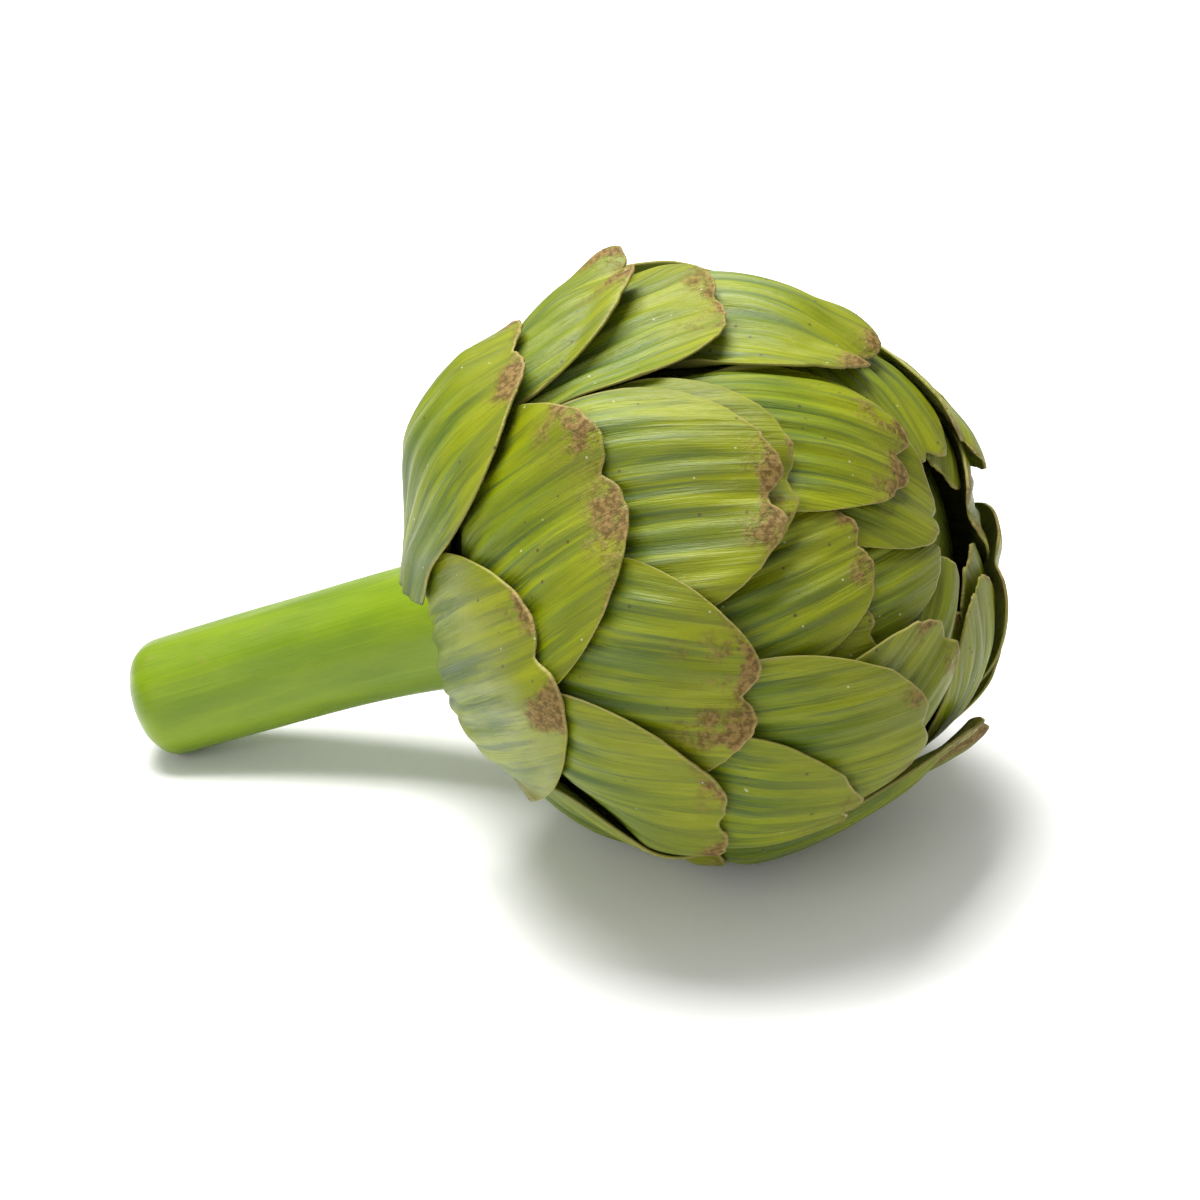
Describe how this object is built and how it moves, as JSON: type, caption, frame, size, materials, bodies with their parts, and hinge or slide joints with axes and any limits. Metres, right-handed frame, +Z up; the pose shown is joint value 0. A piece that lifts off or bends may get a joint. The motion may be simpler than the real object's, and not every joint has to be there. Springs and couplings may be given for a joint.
{
  "type": "artichoke",
  "caption": "Globe artichoke with its stem, lying on its side on a small flat spot.",
  "frame": {"origin": "middle of the small flat spot under the head, on the surface the artichoke lies on", "axes": "+Z up from the surface; +X from the stem's cut end towards the top of the head"},
  "size_m": [0.1501, 0.1146, 0.0944],
  "materials": {
    "stem": "satin",
    "bud": "matte",
    "bract": "satin"
  },
  "bodies": {
    "root": {"stem_and_heart": "stem", "inner_bud": "bud", "outer_bract_1": "bract", "outer_bract_2": "bract", "outer_bract_3": "bract", "outer_bract_4": "bract", "outer_bract_5": "bract", "outer_bract_6": "bract", "outer_bract_7": "bract", "outer_bract_8": "bract", "outer_bract_9": "bract", "outer_bract_10": "bract", "outer_bract_11": "bract", "outer_bract_12": "bract", "outer_bract_13": "bract", "middle_bract_1": "bract", "middle_bract_2": "bract", "middle_bract_3": "bract", "middle_bract_4": "bract", "middle_bract_5": "bract", "middle_bract_6": "bract", "middle_bract_7": "bract", "middle_bract_8": "bract", "middle_bract_9": "bract", "middle_bract_10": "bract", "middle_bract_11": "bract", "middle_bract_12": "bract", "middle_bract_13": "bract", "inner_bract_1": "bract", "inner_bract_2": "bract", "inner_bract_3": "bract", "inner_bract_4": "bract", "inner_bract_5": "bract", "inner_bract_6": "bract", "inner_bract_7": "bract", "inner_bract_8": "bract", "inner_bract_9": "bract", "inner_bract_10": "bract", "inner_bract_11": "bract", "inner_bract_12": "bract", "inner_bract_13": "bract", "inner_bract_14": "bract", "inner_bract_15": "bract"}
  },
  "joints": []
}
